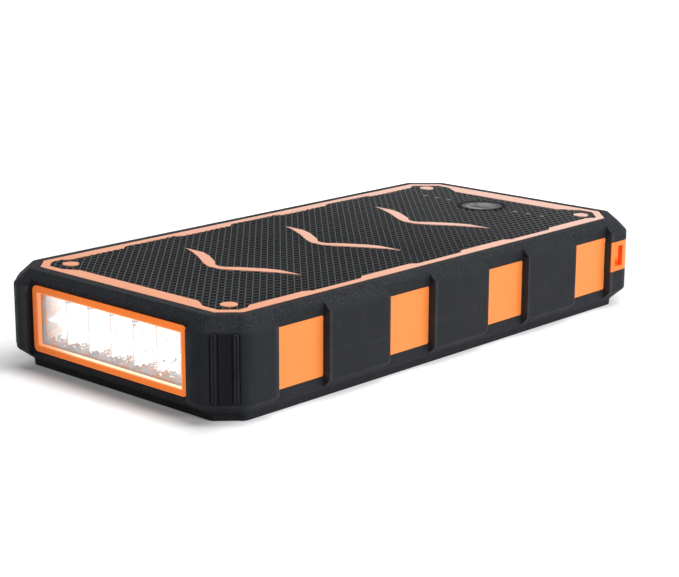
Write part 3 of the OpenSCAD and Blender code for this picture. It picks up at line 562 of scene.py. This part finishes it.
def rubber(name, grainy=True):
    """Dull black elastomer: spark-eroded grain where the mould was etched, fine satin elsewhere,
    painted shade on cut corners, painted highlights on notch edges and rib flanks, a faint uneven
    bloom and a few marks. Each is a share that carries the colour towards a multiple of the black."""
    f = Finish(name)
    f.set(IOR=1.5, Specular_IOR_Level=0.12)

    def black(times, more=0.0):
        """The rubber's black taken times over, plus more."""
        return tuple(c * times + more for c in RUBBER_BLACK)

    bloom = f.ramp(f.noise(38.0, 5.0, 0.6), 0.3, 0.75)
    colour = f.mix(f.math("MULTIPLY", bloom, 0.35), black(1.0), black(1.5, 0.004))
    marks = f.scuffs()
    colour = f.mix(f.math("MULTIPLY", marks, 0.3), colour, black(2.4))
    dull = f.math("SUBTRACT", f.ramp(f.noise(260.0, 3.0), 0.3, 0.7, 0.58, 0.70),
                  f.math("MULTIPLY", marks, 0.08))
    if grainy:
        # painted shade: the cut corners darkened towards a tenth of the black
        colour = f.mix(f.math("MULTIPLY", f.attribute("cut"), 0.75), colour, black(0.12))
        # painted highlights along the notch edges and rib flanks, in uneven strength
        painted_edge_highlight = f.math("MULTIPLY", f.attribute("edge"),
                        f.ramp(f.noise(160.0, 3.0), 0.3, 0.6, 0.3, 0.8))
        colour = f.mix(painted_edge_highlight, colour, black(4.5))
        speck, grain = f.noise(1500.0, 2.0, 0.7), f.attribute("grain")
        dots = f.math("MULTIPLY", f.ramp(speck, 0.52, 0.72), grain)
        colour = f.mix(f.math("MULTIPLY", dots, 0.75), colour, black(3.6))
        dull = f.math("ADD", dull, f.math("MULTIPLY", grain, 0.08))
    f.put("Base Color", colour)
    f.put("Roughness", dull)
    f.bump(f.noise(5200.0, 2.0, 0.6), 0.012, 0.5)
    if grainy:
        coarse = f.math("ADD", speck, f.math("MULTIPLY", f.noise(3100.0, 1.0), 0.4))
        f.bump(f.math("MULTIPLY", coarse, grain), 0.16, 0.9)
    return f.mat


bumper = make_piece("bumper_skin", sleeve, sleeve_faces(), "pack", rubber("bumper_rubber"),
                    42.0)
places = np.zeros(len(bumper.data.vertices) * 3)
bumper.data.vertices.foreach_get("co", places)
x, y, z = (places.reshape(-1, 3) / MM).T
rear, x, y = y >= 0, np.abs(x), np.abs(y)


def mark(name, share):
    """Writes a share from 0 to 1 at each of the bumper's points, for its rubber to read."""
    layer = bumper.data.attributes.new(name, "FLOAT", "POINT")
    layer.data.foreach_set("value", share.astype(np.float32))


# grain: all of the upper band and the rim, and half as rough on the lower band
mark("grain", np.clip((z - 26.45) / 0.3, 0, 1) + 0.45 * np.clip((5.6 - z) / 0.3, 0, 1))
# painted shade: the cut corners between the two bands, fading out within a millimetre of their
# edges
beyond = x - HALF_W + y - HALF_L
painted_cut_shade = np.clip((beyond + CUT_FRONT + 1.2) / 0.8, 0, 1)
painted_cut_shade *= np.clip((z - 5.5) / 0.6, 0, 1) * np.clip((26.4 - z) / 0.4, 0, 1)
painted_cut_shade *= np.clip((HALF_W - 1.3 - x) / 0.8, 0, 1) * np.clip((HALF_L - 1.3 - y) / 0.8, 0, 1)
mark("cut", painted_cut_shade)
# painted highlights: the upright edges of the end and side notches, and the ribs' flanks, made
# lighter
painted_end_highlight = np.clip(1.25 - np.abs(x - END_NOTCH_HALF - 0.12) / 0.25, 0, 1) * (y > HALF_L - 0.6)
notch_t = NOTCH_HALF - np.abs(y[:, None] - np.abs(NOTCH_YS[2:])).min(1)
painted_side_highlight = np.clip(1.2 - np.abs(notch_t + 0.12) / 0.22, 0, 1) * (x > HALF_W - 0.35)
along_cut = np.abs((x - HALF_W) - (y - HALF_L)) / math.sqrt(2)
painted_rib_highlight = 0.45 * np.clip(1.3 - np.abs(np.abs(along_cut - RIB_AT) - 0.5) / 0.2, 0, 1)
painted_rib_highlight *= np.abs(beyond + np.where(rear, CUT_REAR, CUT_FRONT)) < 1.0
upright = (z > 6.0) & (z < 26.0)
mark("edge", np.maximum(painted_end_highlight, np.maximum(painted_side_highlight, painted_rib_highlight)) * upright)
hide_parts("bumper")

# ---------------------------------------------------------------------------
# Hard case: two moulded ABS shells, screwed together. The upper one's face is sunk a
# quarter millimetre and filled with fine raised ribs 2 mm apart along one diagonal, with
# short bars between them along the other, staggered like bricks.

RIB_PITCH, RIB_BASE, RIB_CREST, BRICK_PITCH, SHORTEST = 1.98, 0.18, 0.08, 1.6, 0.3
BUTTON_Y = 71.5
CLEAR = ([(0.0, BUTTON_Y, 8.6)]
         + [(s * x, BUTTON_Y, 1.15) for s in (-1, 1) for x in (14.8, 20.3, 25.8)]
         + [(s * 34.3, t * 82.4, 2.9) for s in (-1, 1) for t in (-1, 1)])
FACE_DX, FACE_DY, FACE_Z, RIB_TOP = 8.3, 9.5, 29.75, 29.965


def plastic_finish(name, base, dull=(0.42, 0.55), fine=2600.0, depth=0.012, tint=1.25,
                   shine=0.5):
    """Moulded thermoplastic: the base colour clouded towards tint times itself, uneven gloss
    between the two dull values, a fine mould texture and paler hairline marks."""
    f = Finish(name)
    f.set(IOR=1.47, Specular_IOR_Level=shine)
    cloud = f.ramp(f.noise(30.0, 4.0), 0.3, 0.7)
    marks = f.scuffs()
    pale = tuple(min(c * 0.85 + 0.03, 1.0) for c in base)
    colour = f.mix(cloud, base, tuple(min(c * tint, 1.0) for c in base))
    f.put("Base Color", f.mix(f.math("MULTIPLY", marks, 0.35), colour, pale))
    gloss = f.ramp(f.noise(420.0, 3.0), 0.3, 0.7, *dull)
    f.put("Roughness", f.math("ADD", gloss, f.math("MULTIPLY", marks, 0.1)))
    f.bump(f.noise(fine, 2.0, 0.6), depth, 0.6)
    f.bump(marks, 0.006, 0.5)
    return f


def plastic(*values, **others):
    """The material alone of plastic_finish()."""
    return plastic_finish(*values, **others).mat


def ribs(slope):
    """Closed trapezoid bars along one diagonal of the face, clipped to the octagon under the
    border and broken at the circles of CLEAR: line k satisfies (y - slope x) / sqrt 2 = k pitch.
    The pitch is RIB_PITCH on the falling diagonal. On the rising one it is BRICK_PITCH, and bar
    k stands only in the gaps j of the other lines with k + j even, so the sets meet like
    bricks. Returns the points, and the faces as lists of their numbers."""
    pitch = RIB_PITCH if slope < 0 else BRICK_PITCH
    n = np.array([-slope, 1.0]) / math.sqrt(2)
    u = np.array([1.0, slope]) / math.sqrt(2)
    c = corner_points(FACE_DX, FACE_DY)
    offsets = np.arange(-130, 131) * pitch
    lo, hi = np.full(len(offsets), -1e9), np.full(len(offsets), 1e9)
    for a, b in zip(c, np.roll(c, -1, 0)):
        inward = np.array([-(b - a)[1], (b - a)[0]]) / np.linalg.norm(b - a)
        rate = u @ inward
        room = (offsets[:, None] * n - a) @ inward
        cut = -room / rate if abs(rate) > 1e-6 else None
        if cut is None:
            lo = np.where(room < 0, 1e9, lo)
        elif rate > 0:
            lo = np.maximum(lo, cut)
        else:
            hi = np.minimum(hi, cut)
    runs = [(w, a, b) for w, a, b in zip(offsets, lo, hi) if b - a > 1.0]
    for x, y, r in CLEAR:
        centre = np.array([x, y])
        cut_runs = []
        for w, a, b in runs:
            gap = centre @ n - w
            half = math.sqrt(r * r - gap * gap) if abs(gap) < r else 0.0
            mid = centre @ u
            ends = [(a, min(b, mid - half)), (max(a, mid + half), b)] if half else [(a, b)]
            cut_runs += [(w, c, d) for c, d in ends if d - c > SHORTEST]
        runs = cut_runs
    if slope > 0:
        gaps = np.arange(-70, 70)
        runs = [(w, max(a, j * RIB_PITCH), min(b, (j + 1) * RIB_PITCH)) for w, a, b in runs
                for j in gaps[(gaps + round(w / pitch)) % 2 == 0]
                if min(b, (j + 1) * RIB_PITCH) - max(a, j * RIB_PITCH) > SHORTEST]
    offsets, lo, hi = np.array(runs).T
    section = np.array([[-RIB_BASE, FACE_Z - 0.1], [RIB_BASE, FACE_Z - 0.1], [RIB_BASE, FACE_Z],
                        [RIB_CREST, RIB_TOP - 0.02], [0.0, RIB_TOP], [-RIB_CREST, RIB_TOP - 0.02],
                        [-RIB_BASE, FACE_Z]])
    m = len(section)
    ends = np.stack([lo, hi], 1)
    xy = (ends[:, :, None, None] * u
          + (offsets[:, None, None, None] + section[None, None, :, :1]) * n)
    z = np.broadcast_to(section[:, 1][None, None, :, None], xy.shape[:3] + (1,))
    points = np.concatenate([xy, z], -1).reshape(-1, 3)
    first = np.arange(len(offsets)) * 2 * m
    k = np.arange(m)
    near, far = first[:, None] + k, first[:, None] + (k + 1) % m
    sides = np.stack([near, far, far + m, near + m], -1).reshape(-1, 4)
    caps = np.concatenate([near[:, ::-1], near + m])
    return points, sides.tolist() + caps.tolist()


long_ribs, long_faces = ribs(-1)
short_ribs, short_faces = ribs(1)
rib_faces = long_faces + [[v + len(long_ribs) for v in face] for face in short_faces]
rib_black = plastic_finish("rib_plastic", (0.06, 0.063, 0.066), (0.5, 0.6), 1800.0, 0.01,
                           shine=0.12)
# painted sheen: the ribs grow lighter towards the sockets' end
paler = rib_black.ramp(rib_black.axes()[1], 0.0, 90.0, 0.0, 0.8)
rib_black.put("Base Color", rib_black.mix(paler, rib_black.source("Base Color"),
                                          (0.14, 0.145, 0.15)))
hatch = make_piece("crosshatch_ribs", np.vstack([long_ribs, short_ribs]), rib_faces, "pack",
                   rib_black.mat, 25.0)


def dress(material, *nodes):
    """Gives carried-over nodes their finish."""
    for node in nodes:
        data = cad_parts[node].data
        data.materials.clear()
        data.materials.append(material)


dress(plastic("case_plastic", (0.0034, 0.0036, 0.004), (0.6, 0.72), shine=0.04),
      "top_cover", "bottom_case", "port_panel")

# ---------------------------------------------------------------------------
# Orange trim: border, chevrons, screw caps, side plates and the lanyard eye are satin
# moulded ABS, pressed into recesses and glued. The trim on top carries a painted sheen that
# makes it lighter towards the sockets.

ORANGE_PALE, ORANGE_PAINTED_SHEEN = (0.97, 0.385, 0.195), (1.0, 0.6, 0.48)
pale_orange = plastic_finish("accent_plastic", ORANGE_PALE, (0.36, 0.46), 2400.0, 0.008, 1.02,
                             0.65)
# painted sheen: lighter and pinker towards the sockets' end
painted_trim_sheen = pale_orange.ramp(pale_orange.axes()[1], -85.0, 55.0, 0.0, 0.95)
pale_orange.put("Base Color", pale_orange.mix(painted_trim_sheen, pale_orange.source("Base Color"),
                                              ORANGE_PAINTED_SHEEN))
dress(pale_orange.mat, "border_trim", "chevron_inlays", "screw_caps")

# side plates, with a painted glow along their two upright edges, lifting the shade of the notch
# walls
orange = plastic_finish("insert_plastic", (0.965, 0.262, 0.05), (0.42, 0.52), 2400.0, 0.008,
                        1.05)
share = orange.math("FRACT", orange.math("DIVIDE", orange.axes()[1], NOTCH_PITCH), 0.0)
from_middle = orange.math("ABSOLUTE", orange.math("SUBTRACT", share, 0.5), 0.0)
from_middle = orange.math("MULTIPLY", from_middle, NOTCH_PITCH)
# painted light: emission near both upright edges of each plate
orange.set(Emission_Color=(0.9, 0.33, 0.1, 1))
orange.put("Emission Strength", orange.ramp(from_middle, 7.6, 9.4, 0.0, 0.07))
dress(orange.mat, "side_inserts_right", "side_inserts_left")

# lanyard eye: a deeper orange, with a painted glow deep inside its opening, where it lies in shade
eye_orange = plastic_finish("eye_plastic", (0.955, 0.23, 0.035), (0.42, 0.52), 2400.0, 0.008,
                            1.03, 0.32)
# painted light: red-orange emission growing deeper into the opening
eye_orange.set(Emission_Color=(1.0, 0.07, 0.0, 1))
eye_orange.put("Emission Strength", eye_orange.ramp(eye_orange.axes()[0], 47.6, 45.6, 0.0, 0.3))
dress(eye_orange.mat, "lanyard_eye")

# ---------------------------------------------------------------------------
# Power button: a moulded cap with a dished face that slides in a dark ring, which is pressed
# into the top, and three small milky light guides glued into holes on either side of it.
# Streaks of painted sheen lie across the middle of its face.

button_black = plastic_finish("button_plastic", (0.03, 0.032, 0.034), (0.26, 0.36), 900.0, 0.01,
                              1.2, 0.1)
# painted sheen: streaks across the middle of the face, fading out between 4.6 and 6.2 mm from its
# centre
turned = button_black.ramp(button_black.noise(420.0, 4.0, 0.6, (0.35, 1.0, 1.0)), 0.42, 0.6)
x, y, z = button_black.axes()
spread = button_black.math("POWER", button_black.math("SUBTRACT", y, BUTTON_Y), 2.0)
spread = button_black.math("ADD", spread, button_black.math("POWER", x, 2.0))
spread = button_black.math("SQRT", spread, 0.0)
turned = button_black.math("MULTIPLY", turned, button_black.ramp(spread, 4.6, 6.2, 1.0, 0.0))
button_black.put("Base Color", button_black.mix(turned, (0.012, 0.013, 0.014),
                                                (0.28, 0.29, 0.305)))
dress(button_black.mat, "power_button")
dress(plastic("lens_plastic", (0.12, 0.126, 0.132), (0.3, 0.4), 900.0, 0.003, 1.05, 0.2),
      "indicator_lenses")
dress(plastic("ring_plastic", (0.002, 0.0021, 0.0023), (0.5, 0.6), shine=0.04), "button_ring")

# ---------------------------------------------------------------------------
# Lamp: glossy moulded bezel and clear window pressed into the case, over a board with
# twelve lit white sources in vacuum-metallised cups.

WINDOW_HALF_W, WINDOW_HALF_H = 31.4, 8.0
bezel = plastic_finish("bezel_plastic", (0.9, 0.17, 0.015), (0.22, 0.32), 900.0, 0.004, 1.06,
                       0.14)
x, y, z = bezel.axes()
beside = bezel.math("SUBTRACT", bezel.math("ABSOLUTE", x, 0.0), WINDOW_HALF_W)
above = bezel.math("ABSOLUTE", bezel.math("SUBTRACT", z, LAMP_Z), 0.0)
away = bezel.math("MAXIMUM", beside, bezel.math("SUBTRACT", above, WINDOW_HALF_H))
# painted lamplight in the bezel: brightest at the window, and fainter towards the left
glow = bezel.math("MULTIPLY", bezel.ramp(away, -0.24, 0.3, 1.0, 0.0),
                  bezel.ramp(x, -33.0, -14.0, 0.3, 1.0))
bezel.put("Emission Color", bezel.mix(glow, (1.0, 0.25, 0.04), (1.0, 0.86, 0.62)))
# painted light: the rest of the bezel glows faintly too, more towards the right
painted_bezel_light = bezel.math("ADD", bezel.math("MULTIPLY", glow, 0.8),
                   bezel.ramp(x, -33.0, -10.0, 0.3, 0.5))
# painted shade: its outer sides behind the rubber's edge are coloured near black, with no glow
painted_skirt_shade = bezel.math("MULTIPLY", bezel.ramp(away, 0.9, 1.1), bezel.ramp(y, -97.15, -96.95))
bezel.put("Emission Strength", bezel.math("MULTIPLY", painted_bezel_light, bezel.math("SUBTRACT", 1.0, painted_skirt_shade)))
bezel.put("Base Color", bezel.mix(painted_skirt_shade, bezel.source("Base Color"), (0.006, 0.005, 0.005)))
dress(bezel.mat, "lamp_bezel")

lights = Finish("led_plastic")
lights.set(Base_Color=(0.8, 0.8, 0.8, 1), Roughness=0.3)
lights.set(Emission_Color=(1.0, 0.97, 0.92, 1), Emission_Strength=0.9)
lights.bump(lights.noise(900.0, 2.0), 0.01, 0.4)
dress(lights.mat, "led_emitters")
dress(plastic("white_board", (0.8, 0.8, 0.78)), "lamp_board")

# metallised cups, drawn without metal: painted lamplight reflected in them, white; dimmer at the
# left end, on the floor, on the rims, and in flecks and dashes
CUP_MOUTH, CUP_LIP_Z = -95.75, 23.1
cups = Finish("reflector_plastic")
cups.set(Metallic=0.0, Specular_IOR_Level=0.1)
x, y, z = cups.axes()
ripple = cups.math("SUBTRACT", cups.noise(420.0, 3.0, 0.6), 0.5)
fine = cups.math("SUBTRACT", cups.noise(1100.0, 3.0, 0.65), 0.5)
end = cups.ramp(cups.math("ADD", x, cups.math("MULTIPLY", ripple, 1.6)), -29.6, -27.0)
floor = cups.ramp(cups.math("ADD", z, cups.math("MULTIPLY", fine, 6.0)), 9.9, 10.9)
row_gap = cups.math("ABSOLUTE", cups.math("SUBTRACT", z, LAMP_Z), 0.0)
rim = cups.math("MULTIPLY", cups.ramp(y, CUP_MOUTH, CUP_MOUTH + 0.35, 1.0, 0.0),
                cups.ramp(row_gap, 0.9, 1.3))
lip = cups.math("ADD", cups.math("SUBTRACT", z, CUP_LIP_Z), fine)
lip = cups.ramp(cups.math("ABSOLUTE", lip, 0.0), 0.12, 0.3, 1.0, 0.0)
dashes = cups.math("MULTIPLY", lip, cups.ramp(cups.noise(300.0, 2.0), 0.42, 0.5))
flecks = cups.math("MULTIPLY", cups.ramp(cups.noise(620.0, 3.0, 0.7), 0.58, 0.64),
                   cups.ramp(x, -24.0, 22.0, 0.25, 0.9))
cup_light_dimmed = cups.math("MAXIMUM", cups.math("MULTIPLY", rim, 0.5),
                   cups.math("MAXIMUM", flecks, dashes))
painted_cup_light = cups.math("MULTIPLY", cups.math("MULTIPLY", end, floor),
                   cups.math("SUBTRACT", 1.0, cup_light_dimmed))
painted_dim_glow = cups.mix(cups.ramp(cups.noise(380.0, 2.0), 0.45, 0.55), (0.58, 0.57, 0.58),
                (1.0, 0.4, 0.18))
cups.put("Base Color", cups.mix(painted_cup_light, (0.3, 0.25, 0.23), (0.45, 0.45, 0.45)))
cups.put("Roughness", cups.ramp(cups.noise(500.0, 3.0), 0.3, 0.7, 0.3, 0.45))
# painted light: emission white where the cups are lit, grey to orange where dimmer
cups.put("Emission Color", cups.mix(painted_cup_light, painted_dim_glow, (1.0, 0.985, 0.97)))
cups.put("Emission Strength", cups.ramp(painted_cup_light, 0.0, 1.0, 0.28, 1.0))
cups.bump(cups.noise(700.0, 2.0), 0.02, 0.5)
dress(cups.mat, "lamp_reflector")

glazing = Finish("lamp_glazing")
glazing.set(Base_Color=(0.98, 0.99, 1.0, 1), Roughness=0.02, IOR=1.3, Transmission_Weight=1.0)
glazing.bump(glazing.noise(60.0, 2.0), 0.002, 0.3)
dress(glazing.mat, "lamp_lens")

# ---------------------------------------------------------------------------
# Socket end: moulded rubber cover on its fixed strip, blue jump socket with gold-plated
# contacts, and nickel-plated charging sockets held by a panel between the case's shells.

dress(rubber("cover_rubber", False), "port_cover", "cover_root")


def metal(name, colour, dull, grain=(1, 1, 1)):
    """Plated or rolled metal: fine draw lines and handling haze, as clouds drawn out by grain
    that carry the roughness from dull to 0.14 above it."""
    f = Finish(name)
    f.set(Base_Color=(*colour, 1), Metallic=1.0)
    f.put("Roughness", f.ramp(f.noise(900.0, 4.0, 0.6, grain), 0.3, 0.7, dull, dull + 0.14))
    f.bump(f.noise(1400.0, 2.0, 0.6, grain), 0.004, 0.4)
    return f.mat


dress(metal("socket_steel", (0.62, 0.62, 0.63), 0.2, (1, 0.1, 1)), "usb_a_shells", "usb_c_socket")
dress(plastic("tongue_plastic", (0.02, 0.06, 0.32)), "usb_a_tongues")
dress(plastic("jump_plastic", (0.02, 0.075, 0.36)), "jump_socket")
dress(metal("contact_brass", (0.86, 0.60, 0.22), 0.2), "jump_contacts", "cell_tabs", "bus_bars")

# ---------------------------------------------------------------------------
# Inside, hidden in use: steel screws, the button's rubber dome on its switch, etched
# boards, foil pouch cells and foam pads, screwed or stuck in place.

dress(metal("screw_steel", (0.42, 0.42, 0.43), 0.3), "case_screws")
dress(plastic("dome_rubber", (0.42, 0.44, 0.46), (0.45, 0.55)), "button_dome")
dress(plastic("part_plastic", (0.03, 0.03, 0.033)), "tact_switch", "board_parts")
dress(plastic("green_board", (0.012, 0.12, 0.05), (0.3, 0.4)), "main_board")
dress(metal("cell_foil", (0.6, 0.61, 0.63), 0.4), "battery_cells")
dress(plastic("foam", (0.06, 0.063, 0.066), (0.8, 0.9), 800.0, 0.15), "foam_pads")
